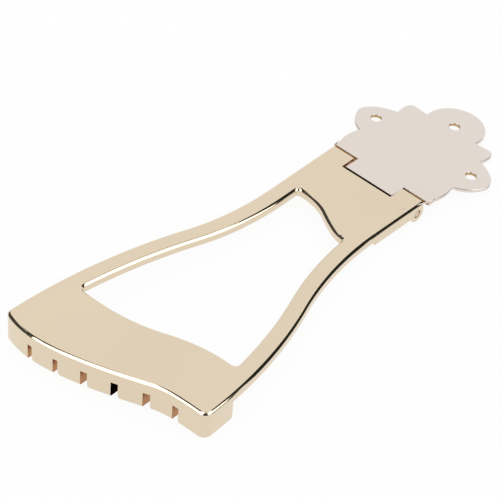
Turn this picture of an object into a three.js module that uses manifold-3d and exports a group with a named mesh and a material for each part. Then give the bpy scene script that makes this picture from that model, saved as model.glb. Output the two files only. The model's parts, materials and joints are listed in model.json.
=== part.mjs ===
// Trapeze tailpiece for an arched-top guitar, lying as it does on a table.
//
// Three pieces: a cast frame that carries the string bar, a flower-shaped
// hinge plate with a knuckle of its own, and the pin that joins them.
// Millimetres, +Z up, +Y from the string bar towards the hinge plate.
// Each piece is drawn with its top face at z = 0 and the frame's hinge end at
// y = 0, then moved so that the pin's axis is the turning centre.

import * as THREE from "three";
import { mergeVertices } from "three/addons/utils/BufferGeometryUtils.js";
import Module from "manifold-3d";

const wasm = await Module();
wasm.setup();

// Frame, seen from above. The treble side is at -X and is the longer one.
const hingeHalfWidth = 21.5;
const trebleWaist = 21.3;
const bassWaist = 20.9;
const trebleReach = 39.5;
const bassReach = 38.6;
const trebleLength = 146.6;
const bassLength = 131.1;
const trebleArmWidth = 7.1;
const bassArmWidth = 7;
const trebleHeadLength = 27.3;
const bassHeadLength = 35.8;
const trebleRailDepth = 27.6;
const bassRailDepth = 23.1;
const trebleCornerRadius = 2;
const bassCornerRadius = 2.6;
const curlLength = 11.7;
const curlRise = 2;
const windowHeadRadius = 1.4;
const windowRailRadius = 2.4;

// Frame, seen from the side. Depths are measured down from the top face.
const deckThickness = 3.2;
const headThickness = 4.8;
const headPadLength = 25.9;
const barHeight = 11.5;
const edgeChamfer = 1.05;
const footRadius = 0.6;

// String bar: teeth in front, the ball-end channel behind them, a rear wall.
const stringCount = 6;
const stringSpacing = 10.4;
const plainStringCount = 2;
const plainSlotWidth = 1.8;
const woundSlotWidth = 2.4;
const slotTopDepth = 4.9;
const plainLeadWidth = 1.9;
const woundLeadWidth = 0.9;
const slotLeadHeight = 3;
const toothDepth = 4.3;
const channelWidth = 6.9;
const channelRoofDepth = 4;
const channelEndMargin = 5.2;
const barRearWall = 2.3;

// Hinge
const pinRadius = 1.5;
const pinGap = 0.3;
const pinSetback = 2.9;
const pinDepth = 4;
const pinEndRecess = 0.3;
const pinEndChamfer = 0.3;
const knuckleRadius = 3.3;
const notchHalfWidth = 11.4;
const notchGap = 0.7;
const seamGap = 0.9;
const sideShift = 0.55;

// Hinge plate
const plateThickness = 1.4;
const plateEdgeRadius = 0.3;
const plateHalfWidth = 30.65;
const plateReach = 56.65;
const shoulderHalfWidth = 22.6;
const shoulderRadius = 0.8;
const tailLobeRadius = 11.75;
const tailLobeStartAngle = -0.17;
const screwHoleRadius = 2.1;
const sideScrewEdge = 8.1;
const sideScrewReach = 25.6;
const tongueHalfWidth = 10.55;

// One overrun serves every cut.
const overrun = 5;
const curveSteps = 10;
const cornerSteps = 5;
const roundSteps = 28;
const footSteps = 3;

// Shares of each side's length at which it starts to flare, bends into its
// straight run and bends out of it, and the share of that run at which it
// changes from one bend to the other.
const trebleFlareShares = { start: 0.237, bend: 0.379, release: 0.737, inflect: 0.31 };
const bassFlareShares = { start: 0.216, bend: 0.384, release: 0.758, inflect: 0.42 };
// Shares of the bar's reach at which the S curves bend, treble side first.
const frontCurveShares = { treble: -0.325, bass: 0.595, inflect: 0.85 };
const railCurveShares = { treble: -0.244, bass: 0.407, inflect: 0.5 };
// The same for the head's edge.
const headCurveShares = { treble: -0.135, bass: 0.234, inflect: 0.35 };

// Petal outline of one half of the plate: x as a share of the plate's half
// width, y as a share of its reach.
const petalShares = {
  dent: [0.728, 0.076],
  scallopBulge: [0.783, 0.168],
  sideNotch: [0.718, 0.268],
  sideLobeLowBulge: [0.929, 0.308],
  sideLobeTip: [1, 0.442],
  sideLobeHighBulge: [0.985, 0.558],
  upperNotch: [0.648, 0.622],
  budBulge: [0.684, 0.716],
  budShoulder: [0.642, 0.742],
  budTip: [0.622, 0.774],
  budBack: [0.53, 0.762],
};

// Solids and meshes

function solid(geometry) {
  const bare = geometry.index ? geometry.toNonIndexed() : geometry.clone();
  bare.deleteAttribute("normal");
  bare.deleteAttribute("uv");
  const merged = mergeVertices(bare);
  return new wasm.Manifold(new wasm.Mesh({
    numProp: 3,
    vertProperties: new Float32Array(merged.attributes.position.array),
    triVerts: new Uint32Array(merged.index.array),
  }));
}

function meshOf(name, body, material) {
  const shell = body.getMesh();
  const geometry = new THREE.BufferGeometry();
  geometry.setAttribute("position", new THREE.BufferAttribute(shell.vertProperties, 3));
  geometry.setIndex(new THREE.BufferAttribute(shell.triVerts, 1));
  geometry.translate(0, pinSetback, pinDepth);
  geometry.computeVertexNormals();
  const mesh = new THREE.Mesh(geometry, material);
  mesh.name = name;
  return mesh;
}

// A plan outline, extruded from one depth below the top face to another.
function slab(outline, fromDepth, toDepth) {
  const shape = new THREE.Shape(outline);
  const geometry = new THREE.ExtrudeGeometry(shape, { depth: toDepth - fromDepth, bevelEnabled: false });
  geometry.translate(0, 0, -toDepth);
  return solid(geometry);
}

// A side-view outline of (y, z) points, extruded across the piece.
function acrossX(outline, halfWidth) {
  const geometry = new THREE.ExtrudeGeometry(new THREE.Shape(outline), {
    depth: halfWidth + halfWidth,
    bevelEnabled: false,
  });
  geometry.translate(0, 0, -halfWidth);
  geometry.rotateY(Math.PI / 2);
  geometry.rotateX(Math.PI / 2);
  return solid(geometry);
}

// A front-view outline of (x, z) points, extruded from one y towards the front.
function towardsFront(outline, fromY, length) {
  const geometry = new THREE.ExtrudeGeometry(new THREE.Shape(outline), { depth: length, bevelEnabled: false });
  geometry.rotateX(Math.PI / 2);
  geometry.translate(0, fromY, 0);
  return solid(geometry);
}

// A round bar across the piece, on the pin's axis.
function barOnPinAxis(radius, halfWidth) {
  const geometry = new THREE.CylinderGeometry(radius, radius, halfWidth + halfWidth, roundSteps);
  geometry.rotateZ(Math.PI / 2);
  geometry.translate(0, -pinSetback, -pinDepth);
  return solid(geometry);
}

// Curves

function point(x, y) {
  return new THREE.Vector2(x, y);
}

// A curve with one bend: the points after its start, up to its end.
function bend(start, corner, end, steps) {
  return new THREE.QuadraticBezierCurve(start, corner, end).getPoints(steps).slice(1);
}

// Two bends that meet on the straight line between their corners.
function doubleBend(start, firstCorner, secondCorner, end, inflectShare) {
  const inflection = firstCorner.clone().lerp(secondCorner, inflectShare);
  return [
    start,
    ...bend(start, firstCorner, inflection, curveSteps),
    ...bend(inflection, secondCorner, end, curveSteps),
  ];
}

// A lazy S across the frame, from one x on the treble side to one on the bass.
function acrossCurve(trebleX, bassX, trebleY, bassY, shares) {
  return doubleBend(
    point(trebleX, trebleY),
    point(shares.treble * trebleReach, trebleY),
    point(shares.bass * bassReach, bassY),
    point(bassX, bassY),
    shares.inflect,
  );
}

// Cast frame

// One side from the hinge end to the bar, for x > 0, moved in by the inset.
function side(waist, reach, length, shares, inset) {
  return [
    point(hingeHalfWidth - inset, 0),
    ...doubleBend(
      point(waist - inset, -shares.start * length),
      point(waist - inset, -shares.bend * length),
      point(reach - inset, -shares.release * length),
      point(reach - inset, -length),
      shares.inflect,
    ),
  ];
}

function trebleSide(inset) {
  return side(trebleWaist, trebleReach, trebleLength, trebleFlareShares, inset).map((p) => point(-p.x, p.y));
}

function bassSide(inset) {
  return side(bassWaist, bassReach, bassLength, bassFlareShares, inset);
}

// Where a curve that runs down the frame crosses a given y.
function cutAt(points, y) {
  const index = points.findIndex((p) => p.y <= y);
  const upper = points[index - 1];
  const lower = points[index];
  return upper.clone().lerp(lower, (upper.y - y) / (upper.y - lower.y));
}

function downTo(points, y) {
  return [...points.filter((p) => p.y > y), cutAt(points, y)];
}

function between(points, fromY, toY) {
  return [cutAt(points, fromY), ...downTo(points, toY).filter((p) => p.y < fromY)];
}

// A curve parallel to the bar's front, set back from it, that starts beside
// the curl at the front's treble end.
function barCurve(setBack) {
  return acrossCurve(
    curlLength - trebleReach,
    bassReach,
    setBack - trebleLength,
    setBack - bassLength,
    frontCurveShares,
  );
}

// The bar's front from side to side. It curls back at the treble end.
function frontOutline() {
  const front = barCurve(0);
  const curlEnd = point(-trebleReach, curlRise - trebleLength);
  const curlCorner = point(curlLength / 2 - trebleReach, -trebleLength);
  return [curlEnd, ...bend(curlEnd, curlCorner, front[0], curveSteps), ...front.slice(1)];
}

function frameOutline() {
  const wholeFront = frontOutline();
  const trebleCorner = wholeFront[0];
  const bassCorner = wholeFront.at(-1);
  const front = wholeFront
    .filter((p) => p.x > trebleCorner.x + trebleCornerRadius && p.x < bassCorner.x - bassCornerRadius);
  const treble = downTo(trebleSide(0), trebleCorner.y + trebleCornerRadius);
  const bass = downTo(bassSide(0), bassCorner.y + bassCornerRadius);
  return [
    point(-hingeHalfWidth, overrun),
    ...treble,
    ...bend(treble.at(-1), trebleCorner, front[0], cornerSteps),
    ...front.slice(1),
    ...bend(front.at(-1), bassCorner, bass.at(-1), cornerSteps),
    ...bass.slice(0, -1).reverse(),
    point(hingeHalfWidth, overrun),
  ];
}

function windowOutline() {
  const treble = trebleSide(trebleArmWidth);
  const bass = bassSide(bassArmWidth);
  const trebleHead = point(trebleArmWidth - trebleWaist, -trebleHeadLength);
  const bassHead = point(bassWaist - bassArmWidth, -bassHeadLength);
  const trebleRail = cutAt(treble, trebleRailDepth - trebleLength);
  const bassRail = cutAt(bass, bassRailDepth - bassLength);
  const trebleRun = between(treble, trebleHead.y - windowHeadRadius, trebleRail.y + windowRailRadius);
  const bassRun = between(bass, bassHead.y - windowHeadRadius, bassRail.y + windowRailRadius);
  const head = acrossCurve(
    trebleHead.x + windowHeadRadius,
    bassHead.x - windowHeadRadius,
    trebleHead.y,
    bassHead.y,
    headCurveShares,
  );
  const rail = acrossCurve(
    trebleRail.x + windowRailRadius,
    bassRail.x - windowRailRadius,
    trebleRail.y,
    bassRail.y,
    railCurveShares,
  );
  return [
    ...trebleRun,
    ...bend(trebleRun.at(-1), trebleRail, rail[0], cornerSteps),
    ...rail.slice(1),
    ...bend(rail.at(-1), bassRail, bassRun.at(-1), cornerSteps),
    ...bassRun.slice(0, -1).reverse(),
    ...bend(bassRun[0], bassHead, head.at(-1), cornerSteps),
    ...head.slice(0, -1).reverse(),
    ...bend(head[0], trebleHead, trebleRun[0], cornerSteps).slice(0, -1),
  ];
}

// The frame's plan with its window, extruded between two depths, with every
// edge at both ends cut back by the margin: flat in one step, round in more.
function castPrism(fromDepth, toDepth, margin, steps) {
  const shape = new THREE.Shape(frameOutline());
  shape.holes.push(new THREE.Path(windowOutline()));
  const geometry = new THREE.ExtrudeGeometry(shape, {
    depth: toDepth - fromDepth - margin - margin,
    bevelThickness: margin,
    bevelSize: margin,
    bevelOffset: -margin,
    bevelSegments: steps,
  });
  geometry.translate(0, 0, margin - toDepth);
  return solid(geometry);
}

// The whole casting at the bar's height: chamfered above, rounded below.
function castBlank() {
  const chamfered = castPrism(0, barHeight + overrun, edgeChamfer, 1);
  return chamfered.intersect(castPrism(-overrun, barHeight, footRadius, footSteps));
}

// The same curve, carried on for a way past both ends of the bar.
function barLine(setBack, extra) {
  const curve = barCurve(setBack);
  return [
    point(-trebleReach - extra, curve[0].y),
    ...curve,
    point(bassReach + extra, curve.at(-1).y),
  ];
}

function heightAt(line, x) {
  const index = line.findIndex((p) => p.x >= x);
  const left = line[index - 1];
  const right = line[index];
  return left.clone().lerp(right, (x - left.x) / (right.x - left.x)).y;
}

// What the mould leaves open under the arms, from the bar's rear wall to the
// pad under the head.
function spaceUnderArms() {
  return slab([
    ...barLine(toothDepth + channelWidth + barRearWall, overrun),
    point(bassReach + overrun, -headPadLength),
    point(-trebleReach - overrun, -headPadLength),
  ], deckThickness, barHeight + overrun);
}

// What it leaves open under the head and past the hinge end, round the
// knuckles.
function spaceRoundKnuckles() {
  const halfWidth = hingeHalfWidth + overrun;
  const under = slab([
    point(-halfWidth, -headPadLength - overrun),
    point(halfWidth, -headPadLength - overrun),
    point(halfWidth, 0),
    point(-halfWidth, 0),
  ], headThickness, barHeight + overrun);
  const past = slab([
    point(-halfWidth, 0),
    point(halfWidth, 0),
    point(halfWidth, overrun + overrun),
    point(-halfWidth, overrun + overrun),
  ], -overrun, barHeight + overrun);
  return under.add(past).subtract(barOnPinAxis(knuckleRadius, halfWidth));
}

// The gap between the knuckles that takes the plate's own knuckle.
function knuckleNotch() {
  const front = -pinSetback - knuckleRadius - notchGap;
  return slab([
    point(-notchHalfWidth, front),
    point(notchHalfWidth, front),
    point(notchHalfWidth, overrun),
    point(-notchHalfWidth, overrun),
  ], -overrun, barHeight + overrun);
}

// One string slot, open at the front and at the bottom. Its mouth has a
// rounded lead-in on the bass side.
function stringSlot(x, width, leadWidth) {
  const half = width / 2;
  const leadTop = point(x + half, slotLeadHeight - barHeight);
  const mouth = point(x + half, -barHeight);
  const leadEnd = point(x + half + leadWidth, -barHeight);
  const outline = [
    point(x - half, -slotTopDepth),
    point(x - half, -barHeight - overrun),
    point(leadEnd.x, -barHeight - overrun),
    leadEnd,
    ...bend(leadEnd, mouth, leadTop, cornerSteps),
    point(x + half, -slotTopDepth),
  ];
  const channelMiddle = heightAt(barLine(toothDepth + channelWidth / 2, 0), x);
  return towardsFront(outline, channelMiddle, trebleLength + overrun + channelMiddle);
}

// The channel that takes the ball ends, parallel to the bar's front.
function ballChannel() {
  const reach = stringSpacing * (stringCount - 1) / 2 + channelEndMargin;
  const cut = (line) => [
    point(-reach, heightAt(line, -reach)),
    ...line.filter((p) => Math.abs(p.x) < reach),
    point(reach, heightAt(line, reach)),
  ];
  const front = cut(barLine(toothDepth, 0));
  const rear = cut(barLine(toothDepth + channelWidth, 0));
  return slab([...front, ...rear.reverse()], channelRoofDepth, barHeight + overrun);
}

function castFrame() {
  let body = castBlank()
    .subtract(spaceUnderArms())
    .subtract(spaceRoundKnuckles())
    .subtract(knuckleNotch())
    .subtract(barOnPinAxis(pinRadius + pinGap, hingeHalfWidth + overrun))
    .subtract(ballChannel());
  for (let string = 0; string < stringCount; string += 1) {
    const x = stringSpacing * (string - (stringCount - 1) / 2);
    const slot = string < plainStringCount
      ? stringSlot(x, plainSlotWidth, plainLeadWidth)
      : stringSlot(x, woundSlotWidth, woundLeadWidth);
    body = body.subtract(slot);
  }
  return body;
}

// Hinge plate

function plateHalfOutline() {
  const at = (name) => point(petalShares[name][0] * plateHalfWidth, petalShares[name][1] * plateReach);
  const shoulderStart = point(shoulderHalfWidth - shoulderRadius, seamGap);
  const shoulder = point(shoulderHalfWidth, seamGap);
  const shoulderSide = point(shoulderHalfWidth, seamGap + shoulderRadius);
  const lobeCentre = plateReach - tailLobeRadius;
  const tailLobe = new THREE.EllipseCurve(
    0, lobeCentre, tailLobeRadius, tailLobeRadius, tailLobeStartAngle, Math.PI / 2,
  ).getPoints(curveSteps + curveSteps);
  return [
    shoulderStart,
    ...bend(shoulderStart, shoulder, shoulderSide, cornerSteps),
    at("dent"),
    ...bend(at("dent"), at("scallopBulge"), at("sideNotch"), cornerSteps),
    ...bend(at("sideNotch"), at("sideLobeLowBulge"), at("sideLobeTip"), curveSteps),
    ...bend(at("sideLobeTip"), at("sideLobeHighBulge"), at("upperNotch"), curveSteps),
    ...bend(at("upperNotch"), at("budBulge"), at("budShoulder"), cornerSteps),
    ...bend(at("budShoulder"), at("budTip"), at("budBack"), cornerSteps),
    ...tailLobe,
  ];
}

function flatPlate() {
  const half = plateHalfOutline();
  const otherHalf = half.slice(0, -1).map((p) => point(-p.x, p.y)).reverse();
  const shape = new THREE.Shape([...half, ...otherHalf]);
  const sideScrewX = plateHalfWidth - sideScrewEdge;
  const holes = [
    point(-sideScrewX, sideScrewReach),
    point(sideScrewX, sideScrewReach),
    point(0, plateReach - tailLobeRadius),
  ];
  for (const centre of holes) {
    const circle = new THREE.EllipseCurve(
      centre.x, centre.y, screwHoleRadius, screwHoleRadius, 0, Math.PI + Math.PI, true,
    );
    shape.holes.push(new THREE.Path(circle.getPoints(roundSteps).slice(1)));
  }
  const geometry = new THREE.ExtrudeGeometry(shape, {
    depth: plateThickness - plateEdgeRadius - plateEdgeRadius,
    bevelThickness: plateEdgeRadius,
    bevelSize: plateEdgeRadius,
    bevelOffset: -plateEdgeRadius,
    bevelSegments: 2,
  });
  geometry.translate(0, 0, plateEdgeRadius - plateThickness);
  return solid(geometry);
}

// The plate's own knuckle, in side view: flat on top and in front, round
// below the pin, running back into the plate.
function plateKnuckle() {
  const round = new THREE.EllipseCurve(
    -pinSetback, -pinDepth, knuckleRadius, knuckleRadius, Math.PI, Math.PI + Math.PI,
  ).getPoints(roundSteps / 2);
  const rear = knuckleRadius - pinSetback;
  const outline = [
    point(seamGap + plateThickness, 0),
    point(-pinSetback - knuckleRadius, 0),
    ...round,
    point(rear, -plateThickness),
    point(seamGap + plateThickness, -plateThickness),
  ];
  return acrossX(outline, tongueHalfWidth);
}

function hingePlate() {
  return flatPlate()
    .add(plateKnuckle())
    .subtract(barOnPinAxis(pinRadius + pinGap, shoulderHalfWidth));
}

// Hinge pin: plain rod with its ends broken by a small chamfer.
function hingePin() {
  const halfLength = hingeHalfWidth - pinEndRecess;
  const profile = [
    point(0, -halfLength),
    point(pinRadius - pinEndChamfer, -halfLength),
    point(pinRadius, pinEndChamfer - halfLength),
    point(pinRadius, halfLength - pinEndChamfer),
    point(pinRadius - pinEndChamfer, halfLength),
    point(0, halfLength),
  ];
  const geometry = new THREE.LatheGeometry(profile, roundSteps);
  geometry.rotateZ(Math.PI / 2);
  geometry.translate(0, -pinSetback, -pinDepth);
  return solid(geometry);
}

// Materials

const goldPlate = new THREE.MeshStandardMaterial({ color: 0xe0d0b7, roughness: 0.12, metalness: 1 });
const paleGoldPlate = new THREE.MeshStandardMaterial({ color: 0xe1d8d1, roughness: 0.18, metalness: 1 });
const pinMetal = new THREE.MeshStandardMaterial({ color: 0xc9b29a, roughness: 0.2, metalness: 1 });

// At rest on a table the bass end of the bar and the two knuckles touch it,
// and the hinge plate drops until its tail does.

function tableTilt() {
  const barToPin = bassLength - (toothDepth + channelWidth + barRearWall) - pinSetback;
  const rise = barHeight - pinDepth;
  return Math.atan2(rise, barToPin) - Math.asin(knuckleRadius / Math.hypot(barToPin, rise));
}

function plateDroop() {
  const pinToTail = plateReach + pinSetback;
  const tailRise = pinDepth - plateThickness;
  return Math.atan2(tailRise, pinToTail) + Math.asin(knuckleRadius / Math.hypot(pinToTail, tailRise));
}

const frameGroup = new THREE.Group();
frameGroup.add(meshOf("tailpiece_frame", castFrame(), goldPlate));
frameGroup.add(meshOf("hinge_pin", hingePin(), pinMetal));
frameGroup.rotation.x = -tableTilt();
frameGroup.position.z = knuckleRadius;

const plateGroup = new THREE.Group();
plateGroup.add(meshOf("hinge_plate", hingePlate(), paleGoldPlate));
plateGroup.rotation.x = -plateDroop();
plateGroup.position.set(sideShift, 0, knuckleRadius);

const tailpiece = new THREE.Group();
tailpiece.add(frameGroup, plateGroup);

// The origin is the middle of the footprint, on the table.
const box = new THREE.Box3().setFromObject(tailpiece, true);
const middle = box.getCenter(new THREE.Vector3());
tailpiece.position.set(-middle.x, -middle.y, -box.min.z);

export default tailpiece;
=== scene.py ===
"""Trapeze tailpiece for an arched-top guitar, gold plated, lying on a white table.

The pieces are drawn as they are cast and turned: the top face at z = 0 and the frame's hinge end at y = 0,
in metres. Each is then laid on the table, turned about the hinge pin.
"""

import json
import math

import bpy
from mathutils import Matrix, Vector


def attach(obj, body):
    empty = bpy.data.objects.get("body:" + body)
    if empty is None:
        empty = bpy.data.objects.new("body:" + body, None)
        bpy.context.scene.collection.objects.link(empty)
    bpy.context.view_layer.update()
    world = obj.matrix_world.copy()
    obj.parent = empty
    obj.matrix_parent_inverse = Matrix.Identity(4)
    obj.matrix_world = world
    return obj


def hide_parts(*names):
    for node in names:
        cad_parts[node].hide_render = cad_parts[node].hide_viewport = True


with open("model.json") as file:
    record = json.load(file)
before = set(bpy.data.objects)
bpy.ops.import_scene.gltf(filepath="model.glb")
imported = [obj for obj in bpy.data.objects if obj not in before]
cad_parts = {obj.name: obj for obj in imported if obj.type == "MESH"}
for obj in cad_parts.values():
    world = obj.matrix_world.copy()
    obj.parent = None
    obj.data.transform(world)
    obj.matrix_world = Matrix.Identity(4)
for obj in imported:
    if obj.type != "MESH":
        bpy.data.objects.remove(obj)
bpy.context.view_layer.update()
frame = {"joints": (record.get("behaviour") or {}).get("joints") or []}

# Cast frame: one zinc die casting, ground and mirror polished, then plated a pale champagne gold.
# It is the hinge pad, two flared arms, the string bar with six slots, and the two outer knuckles.

hinge_half_width = 0.0215
treble_waist = 0.0213
bass_waist = 0.0209
treble_reach = 0.0395
bass_reach = 0.0386
treble_length = 0.1466
bass_length = 0.1311
treble_arm_width = 0.0071
bass_arm_width = 0.007
treble_head_length = 0.0273
bass_head_length = 0.0358
treble_rail_depth = 0.0276
bass_rail_depth = 0.0231
treble_corner_radius = 0.002
bass_corner_radius = 0.0036
curl_length = 0.0117
curl_rise = 0.002
window_head_radius = 0.0014
window_rail_radius = 0.0024

deck_thickness = 0.0032
head_thickness = 0.0048
head_pad_length = 0.0259
bar_height = 0.0115
edge_lean = math.radians(44)
edge_crown = math.radians(15)
edge_crown_radius = 0.0022
edge_ease_radius = 0.0003
flat_rim = 0.0003
foot_radius = 0.0006

string_count = 6
string_spacing = 0.0104
plain_string_count = 2
plain_slot_width = 0.0018
wound_slot_width = 0.0024
slot_top_depth = 0.0049
plain_lead_width = 0.0019
wound_lead_width = 0.0009
slot_lead_height = 0.003
tooth_depth = 0.0043
channel_width = 0.0069
channel_roof_depth = 0.004
channel_end_margin = 0.0052
bar_rear_wall = 0.0023

pin_radius = 0.0015
pin_gap = 0.0001
pin_setback = 0.0029
pin_depth = 0.004
knuckle_radius = 0.0033
notch_half_width = 0.0114
notch_gap = 0.00055

overrun = 0.005
bend_steps = 32
corner_steps = 12
round_steps = 96
edge_steps = 9

# How squarely a face has to look in a direction to be chosen, as the cosine of the angle between them.
square_on = 0.99
mostly_facing = 0.9
half_facing = 0.5

# Shading: edges sharper than the crease stay crisp, level faces are flat all over, and a corner that
# strays from its face is set straight, except on faces of a twentieth of a square millimetre or less.
crease_angle = math.radians(40)
flat_lean = 0.99999
stray_normal = math.cos(math.radians(20))
small_face = 5e-8

treble_flare_shares = {"start": 0.237, "bend": 0.379, "release": 0.737, "inflect": 0.31}
bass_flare_shares = {"start": 0.216, "bend": 0.384, "release": 0.758, "inflect": 0.42}
front_curve_shares = {"treble": -0.325, "bass": 0.595, "inflect": 0.85}
rail_curve_shares = {"treble": -0.244, "bass": 0.407, "inflect": 0.5}
head_curve_shares = {"treble": -0.135, "bass": 0.234, "inflect": 0.35}


def bend(start, corner, end, steps=bend_steps):
    """A curve with one bend: the points after its start, up to its end."""
    shares = [step / steps for step in range(1, steps + 1)]
    return [start * (1 - t) ** 2 + corner * (2 * t * (1 - t)) + end * t**2 for t in shares]


def double_bend(start, first_corner, second_corner, end, inflect_share):
    """Two bends that meet on the straight line between their corners."""
    inflection = first_corner.lerp(second_corner, inflect_share)
    return [start, *bend(start, first_corner, inflection), *bend(inflection, second_corner, end)]


def across_curve(treble_x, bass_x, treble_y, bass_y, shares):
    """A lazy S across the frame, from the treble side to the bass side."""
    return double_bend(
        Vector((treble_x, treble_y)),
        Vector((shares["treble"] * treble_reach, treble_y)),
        Vector((shares["bass"] * bass_reach, bass_y)),
        Vector((bass_x, bass_y)),
        shares["inflect"],
    )


def side(waist, reach, length, shares, inset):
    """One side of the frame from the hinge end to the bar, moved in by the inset."""
    flare = double_bend(
        Vector((waist - inset, -shares["start"] * length)),
        Vector((waist - inset, -shares["bend"] * length)),
        Vector((reach - inset, -shares["release"] * length)),
        Vector((reach - inset, -length)),
        shares["inflect"],
    )
    return [Vector((hinge_half_width - inset, 0)), *flare]


def treble_side(inset):
    points = side(treble_waist, treble_reach, treble_length, treble_flare_shares, inset)
    return [Vector((-p.x, p.y)) for p in points]


def bass_side(inset):
    return side(bass_waist, bass_reach, bass_length, bass_flare_shares, inset)


def cut_at(points, y):
    """Where a curve that runs down the frame crosses a given y."""
    lower = next(index for index, p in enumerate(points) if p.y <= y)
    above, below = points[lower - 1], points[lower]
    return above.lerp(below, (above.y - y) / (above.y - below.y))


def down_to(points, y):
    return [p for p in points if p.y > y] + [cut_at(points, y)]


def between(points, from_y, to_y):
    return [cut_at(points, from_y)] + [p for p in down_to(points, to_y) if p.y < from_y]


def bar_curve(set_back):
    """A curve parallel to the bar's front, that starts beside the curl at its treble end."""
    return across_curve(
        curl_length - treble_reach,
        bass_reach,
        set_back - treble_length,
        set_back - bass_length,
        front_curve_shares,
    )


def front_outline():
    """The bar's front from side to side: it curls back at the treble end."""
    front = bar_curve(0)
    curl_end = Vector((-treble_reach, curl_rise - treble_length))
    curl_corner = Vector((curl_length / 2 - treble_reach, -treble_length))
    return [curl_end, *bend(curl_end, curl_corner, front[0]), *front[1:]]


def frame_outline():
    whole_front = front_outline()
    treble_corner, bass_corner = whole_front[0], whole_front[-1]
    low, high = treble_corner.x + treble_corner_radius, bass_corner.x - bass_corner_radius
    front = [p for p in whole_front if low < p.x < high]
    treble = down_to(treble_side(0), treble_corner.y + treble_corner_radius)
    bass = down_to(bass_side(0), bass_corner.y + bass_corner_radius)
    return [
        Vector((-hinge_half_width, overrun)),
        *treble,
        *bend(treble[-1], treble_corner, front[0], corner_steps),
        *front[1:],
        *bend(front[-1], bass_corner, bass[-1], corner_steps),
        *reversed(bass[:-1]),
        Vector((hinge_half_width, overrun)),
    ]


def window_outline():
    treble, bass = treble_side(treble_arm_width), bass_side(bass_arm_width)
    treble_head = Vector((treble_arm_width - treble_waist, -treble_head_length))
    bass_head = Vector((bass_waist - bass_arm_width, -bass_head_length))
    treble_rail = cut_at(treble, treble_rail_depth - treble_length)
    bass_rail = cut_at(bass, bass_rail_depth - bass_length)
    treble_run = between(treble, treble_head.y - window_head_radius, treble_rail.y + window_rail_radius)
    bass_run = between(bass, bass_head.y - window_head_radius, bass_rail.y + window_rail_radius)
    head = across_curve(
        treble_head.x + window_head_radius,
        bass_head.x - window_head_radius,
        treble_head.y,
        bass_head.y,
        head_curve_shares,
    )
    rail = across_curve(
        treble_rail.x + window_rail_radius,
        bass_rail.x - window_rail_radius,
        treble_rail.y,
        bass_rail.y,
        rail_curve_shares,
    )
    return [
        *treble_run,
        *bend(treble_run[-1], treble_rail, rail[0], corner_steps),
        *rail[1:],
        *bend(rail[-1], bass_rail, bass_run[-1], corner_steps),
        *reversed(bass_run[:-1]),
        *bend(bass_run[0], bass_head, head[-1], corner_steps),
        *reversed(head[:-1]),
        *bend(head[0], treble_head, treble_run[0], corner_steps)[:-1],
    ]


def bar_line(set_back, extra):
    """A curve parallel to the bar's front, carried on for a way past both ends of the bar."""
    curve = bar_curve(set_back)
    return [
        Vector((-treble_reach - extra, curve[0].y)),
        *curve,
        Vector((bass_reach + extra, curve[-1].y)),
    ]


def height_at(line, x):
    right = next(index for index, p in enumerate(line) if p.x >= x)
    before, after = line[right - 1], line[right]
    return before.lerp(after, (x - before.x) / (after.x - before.x)).y


def sheet_from(name, *loops):
    """A flat face in space whose edge is the first loop of points, with the others as holes."""
    bpy.ops.object.select_all(action="DESELECT")
    parts = []
    for loop in loops:
        bpy.ops.mesh.primitive_circle_add(vertices=len(loop), fill_type="NOTHING")
        ring = bpy.context.object
        for vertex, place in zip(ring.data.vertices, loop):
            vertex.co = place
        parts.append(ring)
    for ring in parts:
        ring.select_set(True)
    bpy.context.view_layer.objects.active = parts[0]
    if len(parts) > 1:
        bpy.ops.object.join()
    piece = bpy.context.object
    piece.name = name
    bpy.ops.object.mode_set(mode="EDIT")
    bpy.ops.mesh.select_all(action="SELECT")
    bpy.ops.mesh.fill()
    bpy.ops.object.mode_set(mode="OBJECT")
    return piece


def extruded(piece, travel):
    """Pulls a flat face into a solid."""
    bpy.ops.object.mode_set(mode="EDIT")
    bpy.ops.mesh.select_all(action="SELECT")
    bpy.ops.mesh.extrude_region_move(TRANSFORM_OT_translate={"value": travel})
    bpy.ops.mesh.select_all(action="SELECT")
    bpy.ops.mesh.normals_make_consistent(inside=False)
    bpy.ops.object.mode_set(mode="OBJECT")
    return piece


def slab(name, outline, from_depth, to_depth, *holes):
    """A plan outline as a solid between two depths below the top face."""
    loops = [[(p.x, p.y, -from_depth) for p in loop] for loop in (outline, *holes)]
    return extruded(sheet_from(name, *loops), (0, 0, from_depth - to_depth))


def across_x(name, outline, half_width):
    """A side-view outline of (y, z) points as a solid across the piece."""
    loop = [(-half_width, y, z) for y, z in outline]
    return extruded(sheet_from(name, loop), (half_width + half_width, 0, 0))


def towards_front(name, outline, from_y, length):
    """A front-view outline of (x, z) points as a solid towards the front."""
    loop = [(x, from_y, z) for x, z in outline]
    return extruded(sheet_from(name, loop), (0, -length, 0))


def bar_on_pin_axis(name, radius, half_width):
    bpy.ops.object.select_all(action="DESELECT")
    bpy.ops.mesh.primitive_cylinder_add(
        vertices=round_steps,
        radius=radius,
        depth=half_width + half_width,
        location=(0, -pin_setback, -pin_depth),
        rotation=(0, math.pi / 2, 0),
    )
    bpy.ops.object.transform_apply(location=True, rotation=True, scale=True)
    bpy.context.object.name = name
    return bpy.context.object


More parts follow.
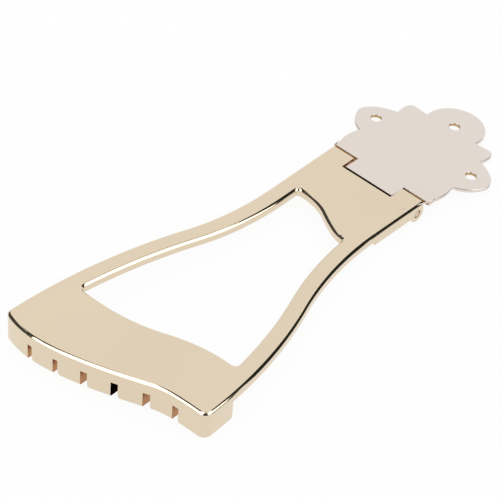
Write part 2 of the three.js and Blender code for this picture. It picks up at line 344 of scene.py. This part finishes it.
def shape_edge(piece, direction, profile):
    """Gives the face that looks up (1) or down (-1) an edge of (inset, rise) points, by rings of insets."""
    bpy.ops.object.mode_set(mode="EDIT")
    bpy.ops.mesh.select_all(action="DESELECT")
    bpy.ops.object.mode_set(mode="OBJECT")
    for face in piece.data.polygons:
        face.select = face.normal.z * direction > square_on
    bpy.ops.object.mode_set(mode="EDIT")
    bpy.ops.transform.translate(value=(0, 0, -direction * profile[-1][1]))
    for (inset, rise), (next_inset, next_rise) in zip(profile, profile[1:]):
        bpy.ops.mesh.inset(thickness=next_inset - inset, depth=next_rise - rise, use_even_offset=True)
    bpy.ops.object.mode_set(mode="OBJECT")


def edge_profile(*arcs, steps=edge_steps):
    """The profile of an edge, from wall to flat, made of arcs of (radius, lean before, lean after)."""
    points = [(0, 0)]
    for radius, start, end in arcs:
        inset, rise = points[-1]
        for step in range(1, steps + 1):
            lean = start + (end - start) * step / steps
            points.append((
                inset + radius * (math.sin(start) - math.sin(lean)),
                rise + radius * (math.cos(lean) - math.cos(start)),
            ))
    return points + [(points[-1][0] + flat_rim, points[-1][1])]


def round_edge(radius, steps=edge_steps):
    return edge_profile((radius, math.pi / 2, 0), steps=steps)


def crowned_chamfer(lean, crown, crown_radius, ease_radius):
    """A chamfer that polishing has crowned, with small rounds at its two borders."""
    low, high = lean + crown, lean - crown
    return edge_profile((ease_radius, math.pi / 2, low), (crown_radius, low, high), (ease_radius, high, 0))


def boolean(piece, tool, operation, material=None):
    """Joins or cuts a piece with a tool, which is then removed. New faces take the tool's material."""
    if material:
        tool.data.materials.append(material)
    bpy.ops.object.select_all(action="DESELECT")
    piece.select_set(True)
    bpy.context.view_layer.objects.active = piece
    step = piece.modifiers.new(operation.lower(), "BOOLEAN")
    step.operation = operation
    step.object = tool
    step.solver = "EXACT"
    step.material_mode = "TRANSFER"
    bpy.ops.object.modifier_apply(modifier=step.name)
    bpy.data.objects.remove(tool)


def paint_shade_on(piece, material, chosen):
    """Paints shade on the faces that are chosen by their middle and normal, by giving them a darker
    material.
    """
    if material.name not in piece.data.materials:
        piece.data.materials.append(material)
    index = piece.data.materials.find(material.name)
    for face in piece.data.polygons:
        if chosen(face.center, face.normal):
            face.material_index = index


def shade(piece):
    """Shades the flats flat and the rounds round, and sets stray corners straight."""
    bpy.ops.object.select_all(action="DESELECT")
    piece.select_set(True)
    bpy.context.view_layer.objects.active = piece
    bpy.ops.object.shade_smooth_by_angle(angle=crease_angle)
    weighted = piece.modifiers.new("weighted_normals", "WEIGHTED_NORMAL")
    weighted.keep_sharp = True
    bpy.ops.object.modifier_apply(modifier=weighted.name)
    normals = [corner.vector.copy() for corner in piece.data.corner_normals]
    for face in piece.data.polygons:
        flat = abs(face.normal.z) > flat_lean
        for corner in face.loop_indices:
            stray = face.area > small_face and normals[corner].dot(face.normal) < stray_normal
            if flat or stray:
                normals[corner] = face.normal.copy()
    piece.data.normals_split_custom_set(normals)


def underside_round():
    """The lower side of a knuckle, from its front to the end of the frame, as (y, z) points."""
    drop = head_thickness - pin_depth
    start = math.atan2(-drop, -math.sqrt(knuckle_radius**2 - drop**2)) % math.tau
    end = math.acos(pin_setback / knuckle_radius) + math.tau
    turns = [start + (end - start) * step / round_steps for step in range(round_steps + 1)]
    return [
        (knuckle_radius * math.cos(turn) - pin_setback, knuckle_radius * math.sin(turn) - pin_depth)
        for turn in turns
    ]


def linear(hex_colour):
    """The linear values of an sRGB colour written as hex."""
    channels = [int(hex_colour[k : k + 2], 16) / 255 for k in (0, 2, 4)]
    return tuple(c / 12.92 if c <= 0.04045 else ((c + 0.055) / 1.055) ** 2.4 for c in channels) + (1,)


def add_node(tree, kind, inputs=None, **settings):
    """Adds one node, with its settings and, for each input, a value or the output that feeds it."""
    new = tree.nodes.new(kind)
    for name, value in settings.items():
        setattr(new, name, value)
    for socket, value in (inputs or {}).items():
        if isinstance(value, bpy.types.NodeSocket):
            tree.links.new(value, new.inputs[socket])
        else:
            new.inputs[socket].default_value = value
    return new


# The plating's patterns in millimetres, and its buffing marks: how far they are drawn out along the
# object and how much they change the roughness. Real marks are finer than a pixel, so these are wider.
metre_mm = 1000
tone_drift_mm = 45
orange_peel_mm = 6
buffing_stretch_share = 0.08
buffing_spread_share = 0.3


def plated_metal(name, colour, thin_colour, roughness, grain_mm, wave_microns):
    """Gold plating on metal: slow drifts of tone, fine buffing marks and a slight orange peel."""
    material = bpy.data.materials.new(name)
    material.use_nodes = True
    tree = material.node_tree
    tree.nodes.clear()
    place = add_node(tree, "ShaderNodeTexCoord").outputs["Object"]
    drift = add_node(
        tree, "ShaderNodeTexNoise", {"Vector": place, "Scale": metre_mm / tone_drift_mm, "Detail": 1}
    )
    tone = add_node(
        tree,
        "ShaderNodeMix",
        {"Factor": drift.outputs["Fac"], "A": linear(colour), "B": linear(thin_colour)},
        data_type="RGBA",
    )
    stroke = add_node(tree, "ShaderNodeMapping", {"Vector": place, "Scale": (1, buffing_stretch_share, 1)})
    buffing = add_node(
        tree,
        "ShaderNodeTexNoise",
        {"Vector": stroke.outputs["Vector"], "Scale": metre_mm / grain_mm, "Detail": 3},
    )
    polish = add_node(
        tree,
        "ShaderNodeMapRange",
        {
            "Value": buffing.outputs["Fac"],
            "To Min": roughness * (1 - buffing_spread_share),
            "To Max": roughness * (1 + buffing_spread_share),
        },
    )
    peel = add_node(
        tree, "ShaderNodeTexNoise", {"Vector": place, "Scale": metre_mm / orange_peel_mm, "Detail": 0}
    )
    relief = add_node(
        tree,
        "ShaderNodeBump",
        {"Height": peel.outputs["Fac"], "Distance": wave_microns * 1e-6, "Strength": 1},
    )
    shader = add_node(
        tree,
        "ShaderNodeBsdfPrincipled",
        {
            "Base Color": tone.outputs["Result"],
            "Metallic": 1,
            "Roughness": polish.outputs["Result"],
            "Normal": relief.outputs["Normal"],
        },
    )
    add_node(tree, "ShaderNodeOutputMaterial", {"Surface": shader.outputs["BSDF"]})
    return material


# The casting is buffed to a mirror before it is plated: its pale gold mirrors sharply what is round it,
# and only faint buffing marks break the gloss.
champagne_gold = plated_metal("polished_champagne_gold_plate", "e3d3b9", "ddcdb5", 0.07, 0.4, 3)

# Deep cuts are polished and plated less, so the gold is rougher there. Its darker, browner colour is painted
# shade: the slots, the ball channel, the notch and the bores lie in shade.
recess_shade_gold = plated_metal("gold_with_painted_recess_shade", "b98558", "a9744a", 0.3, 0.3, 6)

# Walls that only a cutter has touched are plated but not polished, so they are rougher. Their deeper,
# browner gold is painted shade, for the seam faces by the hinge and the walls of the screw holes.
seam_and_hole_shade_gold = plated_metal("rough_gold_with_painted_shade_in_seams_and_holes", "c8a97c", "bb9a6c", 0.3, 0.3, 6)

cast = slab("cast_frame", frame_outline(), 0, bar_height, window_outline())
cast.data.materials.append(champagne_gold)
shape_edge(cast, 1, crowned_chamfer(edge_lean, edge_crown, edge_crown_radius, edge_ease_radius))
shape_edge(cast, -1, round_edge(foot_radius))

under_arms = bar_line(tooth_depth + channel_width + bar_rear_wall, overrun) + [
    Vector((bass_reach + overrun, -head_pad_length)),
    Vector((-treble_reach - overrun, -head_pad_length)),
]
arm_cutter = slab("under_arms", under_arms, deck_thickness, bar_height + overrun)
boolean(cast, arm_cutter, "DIFFERENCE", champagne_gold)

pad_front = -head_pad_length - overrun
below = -bar_height - overrun
round_knuckles = [
    (pad_front, -head_thickness),
    *underside_round(),
    (0, overrun),
    (overrun + overrun, overrun),
    (overrun + overrun, below),
    (pad_front, below),
]
knuckle_cutter = across_x("round_knuckles", round_knuckles, hinge_half_width + overrun)
boolean(cast, knuckle_cutter, "DIFFERENCE", champagne_gold)

notch_front = -pin_setback - knuckle_radius - notch_gap
notch = [Vector((x, y)) for x, y in (
    (-notch_half_width, notch_front),
    (notch_half_width, notch_front),
    (notch_half_width, overrun),
    (-notch_half_width, overrun),
)]
# The notch's walls take the darker gold: painted shade in the gap round the knuckles.
boolean(cast, slab("notch", notch, -overrun, bar_height + overrun), "DIFFERENCE", recess_shade_gold)
bore = bar_on_pin_axis("pin_bore", pin_radius + pin_gap, hinge_half_width + overrun)
boolean(cast, bore, "DIFFERENCE", champagne_gold)
# The frame's end faces by the hinge take the browner gold: painted shade in the seam.
paint_shade_on(cast, seam_and_hole_shade_gold, lambda middle, normal: normal.y > mostly_facing and middle.y > -pin_setback)

channel_reach = string_spacing * (string_count - 1) / 2 + channel_end_margin
channel = []
for line in (bar_line(tooth_depth, 0), bar_line(tooth_depth + channel_width, 0)):
    run = [Vector((-channel_reach, height_at(line, -channel_reach)))]
    run += [p for p in line if abs(p.x) < channel_reach]
    run += [Vector((channel_reach, height_at(line, channel_reach)))]
    channel += reversed(run) if channel else run
# The ball channel's walls take the darker gold: painted shade inside the bar.
channel_cutter = slab("ball_channel", channel, channel_roof_depth, bar_height + overrun)
boolean(cast, channel_cutter, "DIFFERENCE", recess_shade_gold)

channel_middle = bar_line(tooth_depth + channel_width / 2, 0)
for string in range(string_count):
    x = string_spacing * (string - (string_count - 1) / 2)
    plain = string < plain_string_count
    slot_width = plain_slot_width if plain else wound_slot_width
    left, right = x - slot_width / 2, x + slot_width / 2
    lead_end = right + (plain_lead_width if plain else wound_lead_width)
    lead = bend(
        Vector((lead_end, -bar_height)),
        Vector((right, -bar_height)),
        Vector((right, slot_lead_height - bar_height)),
        corner_steps,
    )
    slot = [
        (left, -slot_top_depth),
        (left, below),
        (lead_end, below),
        (lead_end, -bar_height),
        *[(p.x, p.y) for p in lead],
        (right, -slot_top_depth),
    ]
    middle = height_at(channel_middle, x)
    # Each slot's walls take the darker gold: painted shade inside the slot.
    slot_cutter = towards_front("slot", slot, middle, treble_length + overrun + middle)
    boolean(cast, slot_cutter, "DIFFERENCE", recess_shade_gold)
shade(cast)

bar_to_pin = bass_length - (tooth_depth + channel_width + bar_rear_wall) - pin_setback
bar_rise = bar_height - pin_depth
bar_slope = math.atan2(bar_rise, bar_to_pin)
table_tilt = bar_slope - math.asin(knuckle_radius / math.hypot(bar_to_pin, bar_rise))
pin_place = Vector(frame["joints"][0]["pos_m"])


def lay_down(piece, place, tilt):
    """Lays a piece on the table: turned about the pin's axis, which goes to its place."""
    lift = Matrix.Translation((0, pin_setback, pin_depth))
    piece.data.transform(Matrix.Translation(place) @ Matrix.Rotation(-tilt, 4, "X") @ lift)


def enrol(piece, body, node):
    """Gives a piece its body and the CAD node it stands for."""
    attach(piece, body)
    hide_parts(node)


lay_down(cast, pin_place, table_tilt)
enrol(cast, "frame", "tailpiece_frame")

# Hinge plate: a flower-shaped plate with three plain screw holes, cast with the middle knuckle under
# its tongue. It is plated paler than the frame and polished to a softer satin.

plate_thickness = 0.0014
plate_edge_radius = 0.0003
plate_edge_steps = 4
plate_half_width = 0.03065
plate_reach = 0.05665
shoulder_half_width = 0.0226
shoulder_radius = 0.0008
seam_gap = 0.0009
tail_lobe_radius = 0.01175
tail_lobe_start_angle = -0.17
screw_hole_radius = 0.0021
side_screw_edge = 0.0081
side_screw_reach = 0.0256
tongue_half_width = 0.0108
root_depth = 0.0016
root_overhang = 0.002
side_shift = 0.00055

petal_shares = {
    "dent": (0.728, 0.076),
    "scallop_bulge": (0.783, 0.168),
    "side_notch": (0.718, 0.268),
    "side_lobe_low_bulge": (0.929, 0.308),
    "side_lobe_tip": (1, 0.442),
    "side_lobe_high_bulge": (0.985, 0.558),
    "upper_notch": (0.648, 0.622),
    "bud_bulge": (0.684, 0.716),
    "bud_shoulder": (0.642, 0.742),
    "bud_tip": (0.622, 0.774),
    "bud_back": (0.53, 0.762),
}


def arc(centre, radius, start, end, steps):
    """Points of a circle's arc, both ends included."""
    turns = [start + (end - start) * step / steps for step in range(steps + 1)]
    return [centre + Vector((radius * math.cos(turn), radius * math.sin(turn))) for turn in turns]


def petal(name):
    x_share, y_share = petal_shares[name]
    return Vector((x_share * plate_half_width, y_share * plate_reach))


shoulder_start = Vector((shoulder_half_width - shoulder_radius, seam_gap))
shoulder_side = Vector((shoulder_half_width, seam_gap + shoulder_radius))
tail_lobe_centre = Vector((0, plate_reach - tail_lobe_radius))
half_outline = [
    shoulder_start,
    *bend(shoulder_start, Vector((shoulder_half_width, seam_gap)), shoulder_side, corner_steps),
    petal("dent"),
    *bend(petal("dent"), petal("scallop_bulge"), petal("side_notch"), corner_steps),
    *bend(petal("side_notch"), petal("side_lobe_low_bulge"), petal("side_lobe_tip")),
    *bend(petal("side_lobe_tip"), petal("side_lobe_high_bulge"), petal("upper_notch")),
    *bend(petal("upper_notch"), petal("bud_bulge"), petal("bud_shoulder"), corner_steps),
    *bend(petal("bud_shoulder"), petal("bud_tip"), petal("bud_back"), corner_steps),
    *arc(tail_lobe_centre, tail_lobe_radius, tail_lobe_start_angle, math.pi / 2, bend_steps + bend_steps),
]
other_half = [Vector((-p.x, p.y)) for p in reversed(half_outline[:-1])]
side_screw_x = plate_half_width - side_screw_edge
screw_hole_centres = [
    Vector((-side_screw_x, side_screw_reach)),
    Vector((side_screw_x, side_screw_reach)),
    tail_lobe_centre,
]
screw_holes = [
    arc(centre, screw_hole_radius, 0, math.tau, round_steps)[1:] for centre in screw_hole_centres
]

# The plate is buffed less than the frame: its nearly white gold blurs what it mirrors to an even satin.
pale_gold = plated_metal("satin_pale_gold_plate", "e3dad3", "dfd5cc", 0.16, 0.3, 3)

plate = slab("flower_plate", half_outline + other_half, 0, plate_thickness, *screw_holes)
plate.data.materials.append(pale_gold)
for direction in (1, -1):
    shape_edge(plate, direction, round_edge(plate_edge_radius, plate_edge_steps))

knuckle_rear = knuckle_radius - pin_setback
tongue_end = seam_gap + plate_thickness
knuckle_centre = Vector((-pin_setback, -pin_depth))
knuckle_profile = [
    (tongue_end, 0),
    (-pin_setback - knuckle_radius, 0),
    *arc(knuckle_centre, knuckle_radius, math.pi, math.tau, round_steps),
    (knuckle_rear, -plate_thickness),
    (tongue_end, -plate_thickness),
]
boolean(plate, across_x("plate_knuckle", knuckle_profile, tongue_half_width), "UNION", pale_gold)
root_profile = [
    (seam_gap, -plate_thickness / 2),
    (seam_gap, -plate_thickness - root_depth),
    (tongue_end, -plate_thickness - root_depth),
    (tongue_end, -plate_thickness / 2),
]
root = across_x("knuckle_root", root_profile, tongue_half_width + root_overhang)
boolean(plate, root, "UNION", pale_gold)
# The bore through the plate's knuckle takes the darker gold: painted shade.
bore = bar_on_pin_axis("plate_bore", pin_radius + pin_gap, shoulder_half_width)
boolean(plate, bore, "DIFFERENCE", recess_shade_gold)
# The plate's shoulder faces across the seam take the browner gold: painted shade in the seam.
paint_shade_on(
    plate,
    seam_and_hole_shade_gold,
    lambda middle, normal: (
        normal.y < -mostly_facing and abs(middle.x) > tongue_half_width and middle.y < tongue_end
    ),
)
# The walls of the screw holes take the browner gold: painted shade inside the holes.
for centre in screw_hole_centres:
    paint_shade_on(
        plate,
        seam_and_hole_shade_gold,
        lambda middle, normal: (
            abs(normal.z) < half_facing and (middle.xy - centre).length < screw_hole_radius + flat_rim
        ),
    )
shade(plate)

pin_to_tail = plate_reach + pin_setback
tail_rise = pin_depth - plate_thickness
tail_slope = math.atan2(tail_rise, pin_to_tail)
plate_droop = tail_slope + math.asin(knuckle_radius / math.hypot(pin_to_tail, tail_rise))
lay_down(plate, pin_place + Vector((side_shift, 0, 0)), plate_droop)
enrol(plate, "plate", "hinge_plate")

# Hinge pin: a plain steel rod, cropped and chamfered, plated with the rest. It is pressed into the
# two outer knuckles and its ends sit just inside them.

pin_end_recess = 0.0001
pin_end_chamfer = 0.0004
pin_end_steps = 3

pin = bar_on_pin_axis("pressed_pin", pin_radius, hinge_half_width - pin_end_recess)
bpy.ops.object.mode_set(mode="EDIT")
bpy.ops.mesh.select_all(action="DESELECT")
bpy.ops.object.mode_set(mode="OBJECT")
for face in pin.data.polygons:
    face.select = abs(face.normal.x) > square_on
bpy.ops.object.mode_set(mode="EDIT")
bpy.ops.mesh.bevel(offset=pin_end_chamfer, segments=pin_end_steps)
bpy.ops.object.mode_set(mode="OBJECT")
shade(pin)
lay_down(pin, pin_place, table_tilt)

# The rod isn't polished before it is plated, so its ends look duller and a little darker than the frame.
plated_rod = plated_metal("plated_steel_rod", "e0cdb6", "d4bfa6", 0.2, 0.2, 2)
pin.data.materials.append(plated_rod)
enrol(pin, "frame", "hinge_pin")

# White table and studio: a white table top and soft white light all round. Two bright panels and a set
# of dark ones stand round the object, and its polished edges mirror them as thin white and black lines.

table_half_size = 3
glow_share = 0.93


def light_path_share(tree, share):
    """A share for the rays that see the backdrop: from the camera, and from metal and glass."""
    path = add_node(tree, "ShaderNodeLightPath")
    seen = path.outputs["Is Camera Ray"]
    for ray in ("Is Glossy Ray", "Is Transmission Ray"):
        inputs = {0: seen, 1: path.outputs[ray]}
        seen = add_node(tree, "ShaderNodeMath", inputs, operation="MAXIMUM").outputs[0]
    return add_node(tree, "ShaderNodeMath", {0: seen, 1: share}, operation="MULTIPLY").outputs[0]


bpy.ops.object.select_all(action="DESELECT")
bpy.ops.mesh.primitive_plane_add(size=table_half_size + table_half_size)
table_top = bpy.context.object
table_top.name = "table_top"
white_table = bpy.data.materials.new("matt_white_table")
white_table.use_nodes = True
tree = white_table.node_tree
tree.nodes.clear()
matt = add_node(tree, "ShaderNodeBsdfDiffuse", {"Color": linear("fafafa")})
lit = add_node(tree, "ShaderNodeEmission", {"Color": linear("ffffff"), "Strength": 1})
mixed = add_node(
    tree,
    "ShaderNodeMixShader",
    {0: light_path_share(tree, glow_share), 1: matt.outputs["BSDF"], 2: lit.outputs["Emission"]},
)
add_node(tree, "ShaderNodeOutputMaterial", {"Surface": mixed.outputs["Shader"]})
table_top.data.materials.append(white_table)

world = bpy.data.worlds.new("white_studio")
world.use_nodes = True
world.node_tree.nodes["Background"].inputs["Color"].default_value = (1, 1, 1, 1)
world.node_tree.nodes["Background"].inputs["Strength"].default_value = 1
bpy.context.scene.world = world


def panel(name, azimuths, elevations, distance, brightness):
    """A flat panel that fills a range of directions, in degrees, as seen from the object."""
    middle_azimuth = math.radians(sum(azimuths) / 2)
    middle_elevation = math.radians(sum(elevations) / 2)
    flat = math.cos(middle_elevation)
    half_width = distance * flat * math.tan(math.radians(azimuths[1] - azimuths[0]) / 2)
    half_height = distance * math.tan(math.radians(elevations[1] - elevations[0]) / 2)
    place = distance * Vector(
        (flat * math.cos(middle_azimuth), flat * math.sin(middle_azimuth), math.sin(middle_elevation))
    )
    bpy.ops.object.select_all(action="DESELECT")
    bpy.ops.mesh.primitive_plane_add(
        size=1,
        location=place,
        rotation=(math.pi / 2 + middle_elevation, 0, middle_azimuth - math.pi / 2),
    )
    board = bpy.context.object
    board.name = name
    board.scale = (half_width + half_width, half_height + half_height, 1)
    surface = bpy.data.materials.new(name + "_surface")
    surface.use_nodes = True
    surface.node_tree.nodes.clear()
    glow = add_node(surface.node_tree, "ShaderNodeEmission", {"Color": (1, 1, 1, 1), "Strength": brightness})
    add_node(surface.node_tree, "ShaderNodeOutputMaterial", {"Surface": glow.outputs["Emission"]})
    board.data.materials.append(surface)
    board.visible_camera = False
    board.visible_diffuse = False
    board.visible_shadow = False


panel("dark_panel_back_right", azimuths=(37.5, 72), elevations=(0, 52), distance=1.05, brightness=0.025)
panel("dark_panel_left", azimuths=(-190, -120), elevations=(0, 42), distance=1.5, brightness=0.07)
panel("dark_panel_high_left", azimuths=(-150, -110), elevations=(43, 68), distance=1.5, brightness=0.03)
panel("dark_rim_front", azimuths=(-130, -70), elevations=(0, 80), distance=1.7, brightness=0.05)
panel("dark_rim_right", azimuths=(-24, 44), elevations=(0, 66), distance=1.7, brightness=0.05)
panel("dark_camera_stand", azimuths=(-92, 2), elevations=(0, 27), distance=1.55, brightness=0.05)
panel("dark_camera", azimuths=(-76, -13), elevations=(22, 54), distance=1.55, brightness=0.05)
panel("bright_panel_front", azimuths=(-121, -72), elevations=(12, 68), distance=1.6, brightness=2.3)
panel("bright_panel_right", azimuths=(-20, 41), elevations=(12, 58), distance=1.6, brightness=2.3)

# Camera: a long lens at the photograph's place, looking down over the bass side of the bar. It is rolled
# and panned a little, so that the tailpiece lies in the picture as it does in the photograph.

camera_azimuth = math.radians(40.0403)
camera_elevation = math.radians(44.3605)
camera_roll = math.radians(3.6781)
camera_distance = 0.703107
camera_pan_right = 0.0149915
camera_pan_up = 0.00056865
camera_lens_mm = 144
camera_sensor_mm = 36
camera_clip_start = 0.01

back = Vector((
    math.sin(camera_azimuth) * math.cos(camera_elevation),
    -math.cos(camera_azimuth) * math.cos(camera_elevation),
    math.sin(camera_elevation),
))
level_right = Vector((math.cos(camera_azimuth), math.sin(camera_azimuth), 0))
level_up = back.cross(level_right)
right = math.cos(camera_roll) * level_right + math.sin(camera_roll) * level_up
up = math.cos(camera_roll) * level_up - math.sin(camera_roll) * level_right
bpy.ops.object.camera_add()
camera = bpy.context.object
camera.data.lens = camera_lens_mm
camera.data.sensor_width = camera_sensor_mm
camera.data.clip_start = camera_clip_start
place = camera_distance * back - camera_pan_right * right - camera_pan_up * up
camera.matrix_world = Matrix.Translation(place) @ Matrix((right, up, back)).transposed().to_4x4()
bpy.context.scene.camera = camera
bpy.context.scene.view_settings.view_transform = "Standard"
